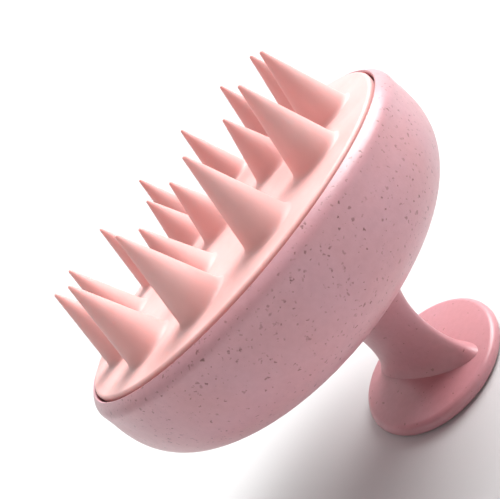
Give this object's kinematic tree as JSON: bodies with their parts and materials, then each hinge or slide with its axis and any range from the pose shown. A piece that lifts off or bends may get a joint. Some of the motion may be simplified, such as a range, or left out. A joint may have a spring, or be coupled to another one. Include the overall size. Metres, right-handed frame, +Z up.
{
  "type": "scalp massager brush",
  "caption": "Hand-held scalp massager: bowl-shaped shell on a short, flat, waisted stem with a palm disc, and a pull-off head of soft conical silicone bristles.",
  "frame": {"origin": "on the bowl's axis, at the palm disc's flat outer face, on which the brush stands", "axes": "+Z up along the bristles; +X roughly from the bowl's axis towards the handle's axis, which stands 5.7 mm along +X and 1.1 mm along -Y from it; +Y completes the right-handed set"},
  "size_m": [0.0804, 0.0804, 0.0697],
  "materials": {
    "shell_plastic": "satin pink plastic filled with fine dark fibre specks",
    "handle_plastic": "satin pink plastic, almost free of specks",
    "carrier_plastic": "plain natural plastic, not seen in use",
    "screw_steel": "bright zinc-plated steel",
    "silicone": "soft matt peach-pink silicone, slightly translucent"
  },
  "bodies": {
    "base": {"shell": "shell_plastic", "handle": "handle_plastic", "handle_screw": "screw_steel"},
    "bristle_head": {"pad_carrier": "carrier_plastic", "bristle_pad": "silicone", "outer_bristles": "silicone", "inner_bristles": "silicone", "centre_bristle": "silicone"}
  },
  "joints": [
    {"name": "head_pull_off", "type": "slide", "parent": "base", "child": "bristle_head", "axis": [0, 0, 1], "range_m": [0, 0.018]}
  ]
}
